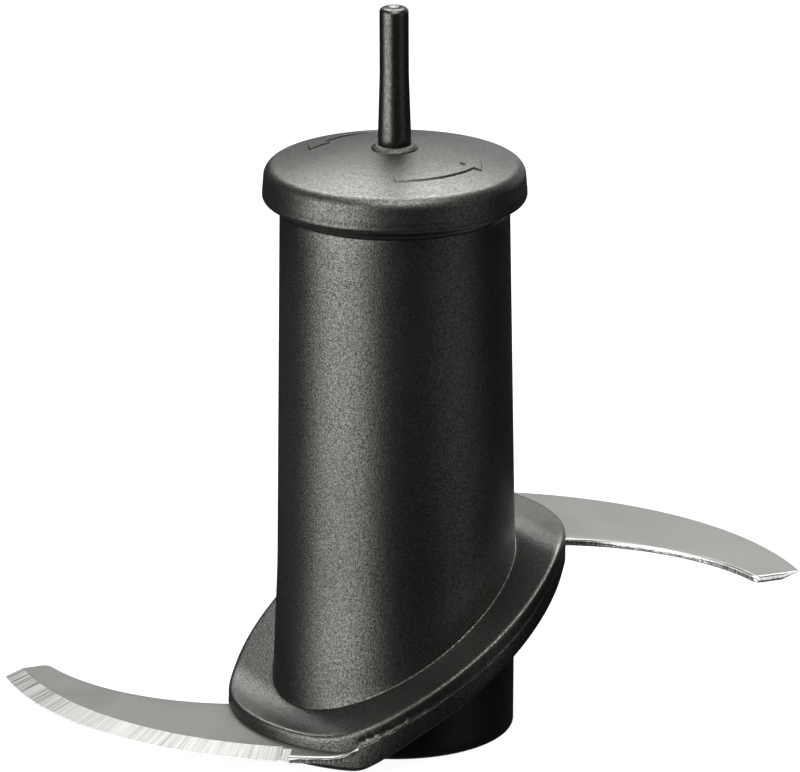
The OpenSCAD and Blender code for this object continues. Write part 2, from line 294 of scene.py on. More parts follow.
def lower_hub():
    rows = [ring(14.6, 0.0), ring(14.2, 0.4), ring(13.8, 0.8), ring(13.8, 20.0), ring(13.8, 43.4), ring(14.0, 43.6),
            ring(14.96, 43.6), ring(15.16, 43.4)]
    rows += [ring(r, on_sheet(r, -0.56)) for r in (15.16, 16.4, 19.0, 22.0, SEAT_R)]
    over = np.where(in_wing, -0.56, 0.54)
    seam = on_sheet(FLANGE_R, over)
    # narrow ledge along the parting line
    ledge = np.where(in_wing, 0.05, 0.11 + 0.05 * wobble(th, 11, (4, 7, 19, 37)))
    rows += [ring(SEAT_R, on_sheet(SEAT_R, over)), ring(FLANGE_R - ledge, on_sheet(FLANGE_R - ledge, over)),
             ring(FLANGE_R - 0.02, seam - ledge * 0.9), ring(FLANGE_R, seam - 0.3)]
    e = 0.9
    base = flange_base(FLANGE_R + 0 * th)
    d = np.minimum(0.9, on_sheet(FLANGE_R, -0.56) - 0.35 - base)
    rows.append(ring(FLANGE_R, base + d))
    rows += [ring(r, z) for r, z in curve3((FLANGE_R + 0 * th, base + d), (FLANGE_R + 0 * th, base),
                                           (FLANGE_R - e + 0 * th, flange_base(FLANGE_R - e + 0 * th)), 10)]
    rf = 17.5 + 0 * th
    for _ in range(6):
        rf = foot_r(flange_base(rf))
    zj = flange_base(rf)
    f = 0.5
    for s in np.linspace(0, 1, 9)[1:]:
        r = FLANGE_R - e + (rf + np.minimum(f, 0.8 * zj) - FLANGE_R + e) * s
        rows.append(ring(r, flange_base(r)))
    f = np.minimum(f, 0.8 * zj)
    rows += [ring(r, z) for r, z in curve3((rf + f, flange_base(rf + f)), (rf, zj),
                                           (foot_r(zj - f), zj - f), 5)]
    q = np.minimum(0.5, 0.7 * (zj - f))
    for s in np.linspace(0, 1, 9)[1:]:
        z = zj - f + (q - zj + f) * s
        rows.append(ring(foot_r(z), z))
    rows += [ring(foot_r(q) - q + q * math.cos(a), q - q * math.sin(a)) for a in np.radians([20, 40, 60, 80, 90])]
    rows.append(ring(15.4, 0.0))
    ob = solid("hub_foot", mesh_of("hub_foot", *loft(rows)))
    pegs = [post(20.2 * math.cos(math.radians(k)), 20.2 * math.sin(math.radians(k)), 1.5,
                 lambda x, y: sheet_z(x, y, -1.05), lambda x, y: sheet_z(x, y, UP - 0.9)) for k in PEGS]
    combine(ob, pegs, "UNION")
    return ob


# -------------------------------------------------------------------- cap
CROWN_R, CROWN_Z = 68.0, 89.0


def crown(r):
    return CROWN_Z - CROWN_R + np.sqrt(CROWN_R ** 2 - np.asarray(r, float) ** 2)


# Raised turning arrows on the crown, counter-clockwise seen from above:
# tail, end of the shaft, point, in degrees.
ARROWS = [(-112.0, -52.0, -36.0), (68.0, 128.0, 144.0)]
ARROW_R, SHAFT_W, HEAD_W, RAISE = 12.7, 0.62, 1.75, 0.26


def top_cap():
    marks = [x + s for a in ARROWS for x, ss in ((a[0], (-0.55, 0.0)), (a[1], (-0.25, 0.25)), (a[2], (0.0, 0.6))) for s in ss]
    d = [x for x in np.arange(-180, 180, 1.25) if all(abs((x - m + 180) % 360 - 180) > 0.4 for m in marks)]
    d = np.array(sorted(d + [(m + 180) % 360 - 180 for m in marks]))
    a = np.radians(d)
    w, up = SHAFT_W + 0 * a, 0 * a
    for tail, neck, point in ARROWS:
        x = (d - tail + 180) % 360 - 180
        n, p = neck - tail, point - tail
        up = np.where((x >= -1e-6) & (x <= p + 1e-6), 1.0, up)
        head = HEAD_W + (0.07 - HEAD_W) * (x - n) / (p - n)
        w = np.where((x >= n + 0.2) & (x <= p + 1e-6), head, w)
        w = np.where((x > p) & (x < p + 4), 0.07 + (SHAFT_W - 0.07) * np.clip((x - p - 0.6) / 3.4, 0, 1), w)

    def rings(r, z):
        r, z = r + 0 * a, z + 0 * a
        return np.stack([r * np.cos(a), r * np.sin(a), z], 1)

    rows = []
    for r in (3.2, 3.5, 4.2, 5.2, 6.4, 7.8, 9.2, 10.3):
        rows.append(rings(r, crown(r)))
    for side, lift in ((-1, 0), (-1, 0.72), (-1, 1), (0, 1), (1, 1), (1, 0.72), (1, 0)):
        r = ARROW_R + side * (w + {0: 0.13, 0.72: 0.035, 1: -0.05}[lift] if side else 0 * w)
        rows.append(rings(r, crown(r) + RAISE * lift * up))
    for r in (15.0, 15.8, 16.6, 17.2):
        rows.append(rings(r, crown(r)))
    tilt = math.degrees(math.asin(17.3 / CROWN_R))
    rows += [rings(r, z) for r, z in round_corner(17.3, 84.8, 1.95, 90 - tilt, 0, 12)]
    rows += [rings(r, z) for r, z in ((19.31, 84.1), (19.38, 83.3), (19.44, 82.7))]
    rows += [rings(r, z) for r, z in round_corner(18.55, 82.15, 0.9, 20, -90, 9)]
    # hollow cone of the neck, down to the column's top
    rows += [rings(r, z) for r, z in ((18.30, 81.22), (17.90, 81.05), (17.50, 80.76), (17.20, 80.45), (17.00, 80.15), (16.90, 80.03), (16.75, 80.0))]
    rows += [rings(r, z) for r, z in ((14.95, 80.0), (14.95, 77.8), (13.5, 77.8), (13.5, 76.2), (14.95, 76.2),
                                      (14.95, 74.6), (14.6, 74.2), (12.2, 74.2), (12.2, 85.4), (12.0, 85.6),
                                      (5.6, 85.6), (5.4, 85.4), (5.4, 79.8), (3.2, 79.8))]
    return solid("domed_cap", mesh_of("domed_cap", *loft(rows), sharp=32))


def pin_bush():
    rows = turned([(2.35, 79.8), (3.19, 79.8), (3.19, 88.9)]
                  + [(3.46, 88.9), (3.47, 88.99), (3.40, 89.10), (3.22, 89.24), (3.02, 89.40), (2.86, 89.53), (2.72, 89.595), (2.6, 89.6)]
                  + [(2.42, 89.58), (2.35, 89.5)], 72)
    return solid("pin_collar", mesh_of("pin_collar", *loft(rows), sharp=40))


def lid_pin():
    prof = [(1.9, 77.6), (2.18, 77.68), (2.30, 77.9), (2.30, 78.95), (1.8, 78.95), (1.8, 79.65), (2.30, 79.65), (2.30, 89.66),
            (2.42, 89.68), (2.48, 89.76)]
    prof += [(2.48 + (2.15 - 2.48) * s, 89.76 + (100.2 - 89.76) * s) for s in np.linspace(0, 1, 14)[1:]]
    prof += [(2.15, z) for z in np.linspace(100.2, 109.4, 12)[1:]]
    prof += [(r, z) for r, z in round_corner(1.35, 109.4, 0.8, 0, 90, 9)][1:]
    prof += [(1.05, 110.2), (0.9, 110.17), (0.74, 110.06), (0.52, 109.98), (0.25, 109.95)]
    rows = turned(prof, 72)
    return solid("lid_pin_turned", mesh_of("lid_pin_turned", *loft(rows, closed=False, start=[0, 0, 77.6], end=[0, 0, 109.94]), sharp=40))


# ------------------------------------------------------------------ blade
CUT_C, CUT_R = np.array([-2.4, -29.45]), 52.7
BACK_C, BACK_R = np.array([9.0, -38.45]), 34.5
GRIND_C, GRIND_R = np.array([-4.62, -31.22]), 52.08
TIP_Y, STOP_X, DISC_R, LAND, STOCK = -33.95, 23.6, 24.85, 0.12, 0.4


def along(points, s):
    """Points at the shares s of a polyline's length."""
    points = np.asarray(points, float)
    seg = np.r_[0, np.cumsum(np.linalg.norm(np.diff(points, axis=0), axis=1))]
    return np.stack([np.interp(np.asarray(s) * seg[-1], seg, points[:, i]) for i in (0, 1)], 1)


def arc(c, r, p, q, n=240):
    a0, a1 = (math.atan2(v[1] - c[1], v[0] - c[0]) for v in (p, q))
    a = np.linspace(a0, a1, n)
    return np.stack([c[0] + r * np.cos(a), c[1] + r * np.sin(a)], 1)


def wing_plan():
    """Plan points of the right wing, [row along the wing][line across it]:
    lines go from the hollow trailing edge to the cutting edge."""
    inner = np.array([BACK_C[0] + math.sqrt(BACK_R ** 2 - (TIP_Y - BACK_C[1]) ** 2), TIP_Y])
    outer = np.array([CUT_C[0] + math.sqrt(CUT_R ** 2 - (TIP_Y - CUT_C[1]) ** 2), TIP_Y])
    stop = np.array([STOP_X, CUT_C[1] + math.sqrt(CUT_R ** 2 - (STOP_X - CUT_C[0]) ** 2)])
    k = math.radians(-17.0)
    for _ in range(40):  # where the trailing edge meets the round middle
        p = DISC_R * np.array([math.cos(k), math.sin(k)])
        k += (BACK_R - np.linalg.norm(p - BACK_C)) / DISC_R
    start_c = DISC_R * np.array([math.cos(k), math.sin(k)])
    m = math.radians(55.0)
    for _ in range(90):  # where the unground root edge meets it
        p = DISC_R * np.array([math.cos(m), math.sin(m)])
        m += (CUT_R - np.linalg.norm(p - CUT_C)) / DISC_R
    start_e = DISC_R * np.array([math.cos(m), math.sin(m)])
    n_root, n_cut = 20, 120
    s_root = np.linspace(0, 1, n_root + 1)
    root = arc(CUT_C, CUT_R, start_e, stop)
    out = (root - CUT_C) / CUT_R
    root = root + out * STOCK * np.sqrt(np.linspace(0, 1, len(root)))[:, None]
    near_tip = np.array([0.42, 0.30, 0.18, 0.09, 0.03, 0.0])
    edge = arc(CUT_C, CUT_R, stop, outer, 600)
    span = np.linalg.norm(np.diff(edge, axis=0), axis=1).sum()
    s_cut = np.r_[np.array([0, 0.35, 0.7, 1.05, 1.40, 1.56]) / span, np.linspace(1.95 / span, 1 - 0.6 / span, n_cut - 11), 1 - near_tip / span]
    e_pts = np.vstack([along(root, s_root), along(edge, s_cut)])
    ground = np.r_[np.zeros(n_root + 1, bool), np.ones(n_cut + 1, bool)]
    s_back = np.r_[np.linspace(0, 1 - 0.6 / 34.0, n_cut - 5), 1 - near_tip / 34.0]
    share = np.r_[0.13 * s_root, 0.13 + 0.002 + (1 - 0.132) * s_back]
    c_pts = along(arc(BACK_C, BACK_R, start_c, inner, 400), share)
    plan, lines = [], []
    for i, (c, e) in enumerate(zip(c_pts, e_pts)):
        # the bevel's strokes stand square to the edge, and follow the tip at its end
        n = (e - CUT_C) / np.linalg.norm(e - CUT_C)
        w = np.clip(1 - abs(e[1] - TIP_Y) / 7.0, 0, 1)
        w = w * w * (3 - 2 * w)
        n = (1 - w) * n + w * np.array([1.0, 0.0])
        n /= np.linalg.norm(n)
        rel = e - GRIND_C
        q = rel @ n
        width = max(q - math.sqrt(max(q * q - rel @ rel + GRIND_R ** 2, 0)), 2.2)
        g = e - n * width
        length = np.linalg.norm(g - c)
        near = np.array([0, 0.03, 0.09, 0.18, 0.30]) / length
        v = np.r_[near, np.linspace(near[-1], 1, 12)[1:]]
        x = np.r_[np.linspace(1, 0.30 / width, 5)[1:-1], np.array([0.30, 0.18, 0.09, 0.03, 0]) / width]
        row = np.vstack([c + v[:, None] * (g - c), e - n * width * x[:, None]])
        step = np.r_[0, np.cumsum(np.linalg.norm(np.diff(row, axis=0), axis=1))]
        plan.append(row)
        lines.append(step / step[-1])
    plan = np.array(plan)
    # the first rows follow the round middle
    a0, a1 = (math.atan2(p[1], p[0]) for p in (start_c, start_e))
    on_arc = np.array([DISC_R * np.array([math.cos(a0 + (a1 - a0) * v), math.sin(a0 + (a1 - a0) * v)]) for v in lines[0]])
    bulge = on_arc - plan[0]
    for i in range(14):
        plan[i] += bulge * (1 - i / 14.0) ** 2
    return plan, ground, np.degrees([a0, a1])


CORNER = 1.3  # radius of the tip's inner corner
BEVEL_LINE = 5 + 11 - 1  # line across the wing on which the bevel begins
STEPS = np.array([0, 0.22, 0.46, 0.54, 0.72, 0.88, 1.0])  # rows down the sheet's edge


def drop(d, r):
    d = np.minimum(d, r)
    return r - np.sqrt(np.maximum(r * r - (r - d) ** 2, 0))


def blade():
    plan, ground, sector = wing_plan()
    nu, nv = plan.shape[:2]
    verts, faces, index = [], [], []

    def add(points):
        k = len(verts)
        verts.extend(points)
        return k

    def grid(a, kind):
        """Quads over an array of points [i][j]."""
        m, n = a.shape[:2]
        k = add(a.reshape(-1, 3))
        for i in range(m - 1):
            for j in range(n - 1):
                faces.append((k + i * n + j, k + i * n + j + 1, k + (i + 1) * n + j + 1, k + (i + 1) * n + j))
                index.append(kind(i, j) if callable(kind) else kind)

    rim = {}
    for side in (1, -1):
        xy = plan * side
        top, bot = (sheet_z(xy[..., 0], xy[..., 1], o) for o in (SHEET / 2, -SHEET / 2))
        dist_c = np.linalg.norm(plan - plan[:, :1], axis=2)
        dist_e = np.linalg.norm(plan - plan[:, -1:], axis=2)
        fade = np.clip(np.arange(nu) / 6.0, 0, 1)[:, None]
        dist_t = np.abs(plan[..., 1] - TIP_Y)
        plain = np.where(ground[:, None], 0.0, 1.0) * fade
        # bevel: from full thickness at its line to the land at the edge; the
        # last of the grind is a short, narrower facet of its own
        rows = np.arange(nu)
        first = int(np.argmax(ground))
        facet = (rows >= first) & (rows < first + 5)
        width = (dist_e[:, BEVEL_LINE] * np.where(facet, 0.75, 1.0))[:, None]
        cut = (SHEET - LAND) * np.clip(1 - dist_e / width, 0, 1) * ground[:, None]
        left = fade * (1 - cut / (SHEET - LAND))
        top = top - left * drop(np.minimum(dist_c, dist_t), 0.24)
        bot = bot + left * np.maximum(drop(dist_c, 0.20), drop(dist_t, 0.36))
        if side > 0:
            top = top - plain * drop(dist_e, 0.30)
            bot = np.minimum(bot + cut + plain * drop(dist_e, 0.09), top - 0.05)
        else:
            bot = bot + plain * drop(dist_e, 0.09)
            top = np.maximum(top - cut - plain * drop(dist_e, 0.30), bot + 0.05)
        # the corner between hollow edge and tip is rounded
        a = np.clip(1 - dist_c / CORNER, 0, 1)
        b = np.clip(1 - dist_t / CORNER, 0, 1)
        across = plan[:, -1] - plan[:, 0]
        across /= np.linalg.norm(across, axis=1, keepdims=True)
        inward = np.array([0.0, np.sign(plan[0, 0, 1] - TIP_Y)])
        move = (a * (1 - np.sqrt(1 - b * b / 2)) * CORNER)[..., None] * across[:, None] + (b * (1 - np.sqrt(1 - a * a / 2)) * CORNER)[..., None] * inward
        xy = xy + move * side
        up = np.dstack([xy, top])
        dn = np.dstack([xy, bot])
        bevel = 2 if side > 0 else 1

        def kind(i, j, bevel=bevel, first=first):
            if not ground[i] or j < BEVEL_LINE:
                return 0
            if i == first + 4:
                return 3
            return 0 if i < first + 4 and j == BEVEL_LINE else bevel

        grid(up, kind if side < 0 else 0)
        grid(dn, kind if side > 0 else 0)

        def wall(a, b, rough, seed, burnish_glint_share):
            """Edge face between two lines of points: a burnished band above, coloured near-white
            as a painted highlight, torn and set back a little below an uneven line."""
            t = np.arange(len(a), dtype=float)
            hold = np.clip(np.minimum(t, len(a) - 1 - t) / 3.0, 0, 1)
            burnish_glint_share = 0.46 + (burnish_glint_share + 0.12 * wobble(t, seed, (0.31, 0.73, 1.3, 2.1)) - 0.46) * hold
            torn = np.clip((STEPS - 0.54) / 0.46, 0, 1)[:, None]
            share = np.where(STEPS[:, None] < 0.5, STEPS[:, None] / 0.46 * burnish_glint_share, burnish_glint_share + 0.08 * (1 - hold * 0.5) + torn * (0.92 - burnish_glint_share + 0.04 * hold))
            g = a[None] * (1 - share[..., None]) + b[None] * share[..., None]
            tangent = np.gradient(a[:, :2], axis=0)
            normal = np.stack([tangent[:, 1], -tangent[:, 0]], 1)
            normal /= np.maximum(np.linalg.norm(normal, axis=1, keepdims=True), 1e-9)
            middle = plan[len(plan) // 2, 8] * side
            if ((a[len(a) // 2, :2] - middle) @ normal[len(a) // 2]) > 0:
                normal = -normal
            for r, amount in ((3, 0.5), (4, 1.0), (5, 0.8)):
                g[r, :, :2] += normal * (rough * amount * hold * (0.65 + 0.35 * wobble(t, seed + r, (0.9, 1.7, 2.9))))[:, None]
            # material 4 on the first rows: the burnished band, coloured near-white as a painted highlight
            grid(g, lambda i, j: 4 if i < 2 else 3)

        first_ground = int(np.argmax(ground))
        away = np.r_[0, np.cumsum(np.linalg.norm(np.diff(plan[:, 0], axis=0), axis=1))]
        # the last argument is the share of each edge face that is burnished and coloured near-white as a painted
        # highlight
        wall(up[:, 0], dn[:, 0], 0.07, 21, 0.14 + 0.46 * np.clip((away - 4.5) / 4.0, 0, 1) - 0.40 * np.clip((away - 20.0) / 5.0, 0, 1))
        wall(up[:first_ground, -1], dn[:first_ground, -1], 0.06, 33, 0.12)
        wall(up[first_ground:, -1], dn[first_ground:, -1], 0.0, 35, 0.8)
        wall(up[first_ground - 1:first_ground + 1, -1], dn[first_ground - 1:first_ground + 1, -1], 0.0, 37, 0.46)
        wall(up[-1], dn[-1], 0.03, 39, 0.82)
        rim[side] = (up[0], dn[0])

    # round middle, between the bore and the wings' roots
    a0, a1 = np.radians(sector)
    fan = [math.atan2(p[1], p[0]) for p in rim[1][0]]
    rest = list(np.linspace(a1, a0 + math.pi, 40)[1:-1])
    angles = np.array(fan + rest + [f + math.pi for f in fan] + [r + math.pi for r in rest])
    radii = [15.25, 16.5, 18.0, 20.0, 22.0, 23.6, DISC_R]
    disc = {}
    for name, o in (("top", SHEET / 2), ("bot", -SHEET / 2)):
        g = []
        for r in radii:
            px, py = r * np.cos(angles), r * np.sin(angles)
            g.append(np.stack([px, py, sheet_z(px, py, o)], 1))
        disc[name] = np.array(g)
    n = len(angles)
    nf = len(fan)
    for name in ("top", "bot"):
        k = add(disc[name].reshape(-1, 3))
        for i in range(len(radii) - 1):
            for j in range(n):
                q = (j + 1) % n
                faces.append((k + i * n + j, k + i * n + q, k + (i + 1) * n + q, k + (i + 1) * n + j))
                index.append(0)
    k = add(np.vstack([disc["top"][0], disc["bot"][0]]))
    for j in range(n):
        q = (j + 1) % n
        faces.append((k + j, k + q, k + n + q, k + n + j))
        index.append(3)
    half = nf + len(rest)
    for start in (nf - 1, nf - 1 + half):
        pick = np.arange(start, start + len(rest) + 2) % n
        a, b = disc["top"][-1][pick], disc["bot"][-1][pick]
        grid(a[None] * (1 - STEPS[:, None, None]) + b[None] * STEPS[:, None, None], 3)
    return verts, faces, index


def chopping_blade():
    verts, faces, index = blade()
    ob = solid("s_blade", mesh_of("s_blade", np.array(verts), faces, index, sharp=24, merge=1.2e-6))
    # the grind's outline is a crisp line
    bm = bmesh.new()
    bm.from_mesh(ob.data)
    for e in bm.edges:
        kinds = {f.material_index for f in e.link_faces}
        if len(kinds) > 1 and kinds & {1, 2}:
            e.smooth = False
    bm.to_mesh(ob.data)
    bm.free()
    return ob


# -------------------------------------------------------------- materials
def nodes_of(name):
    m = bpy.data.materials.new(name)
    m.use_nodes = True
    nt = m.node_tree
    return m, nt, nt.nodes["Principled BSDF"]


def node(nt, kind, **sets):
    n = nt.nodes.new(kind)
    for k, v in sets.items():
        setattr(n, k, v)
    return n


def noise(nt, scale, detail=2.0, rough=0.55, vector=None, distortion=0.0):
    n = node(nt, "ShaderNodeTexNoise")
    n.inputs["Scale"].default_value = scale
    n.inputs["Detail"].default_value = detail
    n.inputs["Roughness"].default_value = rough
    n.inputs["Distortion"].default_value = distortion
    if vector is not None:
        nt.links.new(vector, n.inputs["Vector"])
    return n.outputs["Fac"]


def spread(nt, value, lo, hi, a=0.3, b=0.7):
    n = node(nt, "ShaderNodeMapRange")
    n.inputs["From Min"].default_value, n.inputs["From Max"].default_value = a, b
    n.inputs["To Min"].default_value, n.inputs["To Max"].default_value = lo, hi
    nt.links.new(value, n.inputs["Value"])
    return n.outputs["Result"]


def ramp(nt, value, stops):
    n = node(nt, "ShaderNodeValToRGB")
    els = n.color_ramp.elements
    while len(els) < len(stops):
        els.new(0.5)
    for e, (pos, col) in zip(els, stops):
        e.position, e.color = pos, (*col, 1)
    nt.links.new(value, n.inputs["Fac"])
    return n.outputs["Color"]


def math2(nt, op, a, b=None):
    n = node(nt, "ShaderNodeMath", operation=op)
    for i, v in enumerate((a, b)):
        if v is None:
            continue
        if isinstance(v, (int, float)):
            n.inputs[i].default_value = v
        else:
            nt.links.new(v, n.inputs[i])
    return n.outputs[0]


def bump(nt, bsdf, height, strength, distance):
    n = node(nt, "ShaderNodeBump")
    n.inputs["Strength"].default_value = strength
    n.inputs["Distance"].default_value = distance
    nt.links.new(height, n.inputs["Height"])
    nt.links.new(n.outputs["Normal"], bsdf.inputs["Normal"])


def place(nt):
    return node(nt, "ShaderNodeTexCoord").outputs["Object"]


def plastic(name, grain=1.0, rough=(0.36, 0.46), dark=(0.0005, 0.0006, 0.0004), light=(0.0032, 0.0033, 0.0028), scale=4000.0, gloss=0.5, relief=0.45):
    """Black polymer with a spark-eroded mould texture."""
    m, nt, b = nodes_of(name)
    p = place(nt)
    fine = noise(nt, scale, 1.0, 0.6, p)
    coarse = noise(nt, scale * 0.42, 1.0, 0.55, p)
    patch = noise(nt, 95.0, 3.0, 0.6, p)
    both = math2(nt, "ADD", math2(nt, "MULTIPLY", fine, 0.72), math2(nt, "MULTIPLY", coarse, 0.28))
    nt.links.new(ramp(nt, both, [(0.36, dark), (0.50, tuple(0.5 * (x + y) for x, y in zip(dark, light))), (0.66, light)]),
                 b.inputs["Base Color"])
    r = math2(nt, "ADD", spread(nt, both, rough[1], rough[0], 0.35, 0.65), spread(nt, patch, -0.02, 0.02))
    nt.links.new(r, b.inputs["Roughness"])
    nt.links.new(spread(nt, both, gloss - 0.26 * grain, gloss + 0.30 * grain, 0.38, 0.62), b.inputs["Specular IOR Level"])
    b.inputs["IOR"].default_value = 1.5
    b.inputs["Specular Tint"].default_value = (0.985, 1.0, 0.92, 1.0)
    bump(nt, b, both, relief * grain, 0.00012)
    return m


def steel(name, tint=(0.60, 0.60, 0.585), rough=(0.24, 0.34), along_x=1.0, scale=900.0, strength=0.05):
    """Satin rolled sheet: fine lines along the rolling direction, soft clouds."""
    m, nt, b = nodes_of(name)
    p = place(nt)
    st_ = node(nt, "ShaderNodeMapping")
    st_.inputs["Scale"].default_value = (0.05 * along_x, 1.0, 1.0)
    st_.inputs["Rotation"].default_value = (0.0, 0.0, 0.35)
    nt.links.new(p, st_.inputs["Vector"])
    lines = noise(nt, scale * 5, 2.0, 0.6, st_.outputs["Vector"])
    cloud = noise(nt, 120.0, 3.0, 0.6, p)
    nt.links.new(ramp(nt, cloud, [(0.3, tuple(0.98 * c for c in tint)), (0.7, tint)]), b.inputs["Base Color"])
    r = math2(nt, "ADD", spread(nt, lines, rough[0], rough[1]), spread(nt, cloud, -0.01, 0.01))
    nt.links.new(r, b.inputs["Roughness"])
    b.inputs["Metallic"].default_value = 1.0
    bump(nt, b, lines, strength, 0.00003)
    return m


def ground_steel(name, centre, sign):
    """Cross-ground bevel: strokes square to the cutting edge."""
    m, nt, b = nodes_of(name)
    p = place(nt)
    sep = node(nt, "ShaderNodeSeparateXYZ")
    nt.links.new(p, sep.inputs[0])
    dx = math2(nt, "SUBTRACT", sep.outputs[0], centre[0] * MM * sign)
    dy = math2(nt, "SUBTRACT", sep.outputs[1], centre[1] * MM * sign)
    ang = math2(nt, "ARCTAN2", math2(nt, "MULTIPLY", dy, sign), math2(nt, "MULTIPLY", dx, sign))
    far = math2(nt, "SQRT", math2(nt, "ADD", math2(nt, "MULTIPLY", dx, dx), math2(nt, "MULTIPLY", dy, dy)))
    vec = node(nt, "ShaderNodeCombineXYZ")
    nt.links.new(math2(nt, "MULTIPLY", ang, CUT_R), vec.inputs[0])
    nt.links.new(math2(nt, "MULTIPLY", far, 14.0), vec.inputs[1])
    wide = noise(nt, 2.4, 1.0, 0.5, vec.outputs[0])
    fine = noise(nt, 7.0, 2.0, 0.65, vec.outputs[0])
    # the bevel turns darker and rougher towards the tip
    lean = spread(nt, ang, 0.055, 0.0, -0.09, 0.45)
    mix = math2(nt, "ADD", math2(nt, "MULTIPLY", wide, 0.45), math2(nt, "MULTIPLY", fine, 0.55))
    mix = math2(nt, "SUBTRACT", mix, lean)
    thin = spread(nt, noise(nt, 2.6, 0.0, 0.5, vec.outputs[0]), 1.0, 0.0, 0.39, 0.46)
    mix = math2(nt, "SUBTRACT", mix, math2(nt, "MULTIPLY", thin, spread(nt, ang, 0.44, 0.05, -0.09, 0.34)))
    nt.links.new(ramp(nt, mix, [(0.30, (0.035, 0.035, 0.034)), (0.41, (0.128, 0.128, 0.123)), (0.57, (0.178, 0.178, 0.171))]), b.inputs["Base Color"])
    nt.links.new(spread(nt, mix, 0.50, 0.38), b.inputs["Roughness"])
    b.inputs["Metallic"].default_value = 0.25
    b.inputs["Specular IOR Level"].default_value = 0.2
    bump(nt, b, mix, 0.35, 0.00006)
    return m


def sheared_steel(name, dark=(0.05, 0.05, 0.048), mid=(0.20, 0.20, 0.19), light=(0.46, 0.46, 0.45), rough=(0.58, 0.40), relief=0.6, metal=1.0):
    """Edge of the stamped sheet: short upright streaks."""
    m, nt, b = nodes_of(name)
    p = place(nt)
    mp = node(nt, "ShaderNodeMapping")
    mp.inputs["Scale"].default_value = (1.0, 1.0, 0.22)
    nt.links.new(p, mp.inputs["Vector"])
    streak = noise(nt, 3600.0, 3.0, 0.65, mp.outputs["Vector"])
    nt.links.new(ramp(nt, streak, [(0.38, dark), (0.52, mid), (0.66, light)]), b.inputs["Base Color"])
    nt.links.new(spread(nt, streak, rough[0], rough[1]), b.inputs["Roughness"])
    b.inputs["Metallic"].default_value = metal
    bump(nt, b, streak, relief, 0.00008)
    return m


def simple(name, colour, rough, metallic=0.0, scale=1500.0, vary=0.12, strength=0.15, depth=0.00004):
    """Plain finish with fine uneven tone, gloss and relief."""
    m, nt, b = nodes_of(name)
    p = place(nt)
    f = noise(nt, scale, 3.0, 0.6, p)
    nt.links.new(ramp(nt, f, [(0.3, tuple(c * (1 - vary) for c in colour)), (0.7, tuple(min(1, c * (1 + vary)) for c in colour))]),
                 b.inputs["Base Color"])
    nt.links.new(spread(nt, f, rough - 0.06, rough + 0.06), b.inputs["Roughness"])
    b.inputs["Metallic"].default_value = metallic
    bump(nt, b, f, strength, depth)
    return m


HUB = plastic("hub_textured", rough=(0.35, 0.45), scale=5300.0, gloss=0.52, relief=0.5)
LOWER = plastic("hub_flange_lower", grain=0.8, gloss=0.42)
FOOT = plastic("hub_foot_fine", grain=0.4, rough=(0.34, 0.42), scale=4600.0)
PIN = plastic("pin_textured", grain=0.7, rough=(0.30, 0.38), scale=5200.0, gloss=0.43)
CAP = plastic("cap_textured", grain=0.75, rough=(0.40, 0.47), scale=4000.0)
NECK = plastic("hub_smooth", grain=0.2, rough=(0.32, 0.38), scale=4600.0)
SHEETM = steel("sheet_steel", tint=(0.214, 0.2155, 0.205), rough=(0.33, 0.37), strength=0.02)
BEVEL_LOW = ground_steel("bevel_low", CUT_C, -1.0)
BEVEL_HIGH = ground_steel("bevel_high", CUT_C, 1.0)
SHEAR = sheared_steel("sheared_edge")
# burnished band of the sheet's edge: a real burnish, coloured near-white and nearly non-metallic as a painted highlight
BURNISH_PAINTED_GLINT = sheared_steel("burnished_edge_painted_glint", (0.50, 0.50, 0.49), (0.72, 0.72, 0.71), (0.80, 0.80, 0.79), (0.42, 0.32), 0.15, 0.2)
CORE = simple("core_polymer", (0.055, 0.055, 0.055), 0.42, 0.0, 2600.0, 0.25, 0.3)
BRASS = simple("turned_brass", (0.72, 0.53, 0.24), 0.28, 1.0, 1800.0, 0.10, 0.1)
FASTENER = simple("bright_steel", (0.60, 0.60, 0.59), 0.30, 1.0, 2200.0, 0.10, 0.12)
RUBBER = simple("black_nitrile", (0.022, 0.022, 0.022), 0.62, 0.0, 2400.0, 0.3, 0.3)
SILICONE = simple("red_silicone", (0.42, 0.05, 0.04), 0.48, 0.0, 1600.0, 0.12, 0.2)


def finish_piece(ob, mats, body, node_name):
    for m in mats:
        ob.data.materials.append(m)
    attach(ob, body)
    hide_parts(node_name)


column = upper_hub()
foot = lower_hub()
cap = top_cap()
collar = pin_bush()
pin = lid_pin()
sblade = chopping_blade()

finish_piece(column, [HUB], "blade_hub", "upper_hub")
finish_piece(foot, [LOWER, FOOT], "blade_hub", "lower_hub")
finish_piece(cap, [CAP, NECK], "blade_hub", "top_cap")
finish_piece(collar, [CAP], "blade_hub", "pin_bush")
finish_piece(pin, [PIN], "lid_side", "lid_pin")
finish_piece(sblade, [SHEETM, BEVEL_LOW, BEVEL_HIGH, SHEAR, BURNISH_PAINTED_GLINT], "blade_hub", "chopping_blade")

# finer skin on the foot below the flange, smooth neck under the cap's rim
for poly in foot.data.polygons:
    c = poly.center / MM
    r = math.hypot(c.x, c.y)
    if r < 18.0 and c.z < float(sheet_z(c.x, c.y, -DOWN)) + 0.1:
        poly.material_index = 1
for poly in cap.data.polygons:
    c = poly.center / MM
    if c.z < 81.3:
        poly.material_index = 1

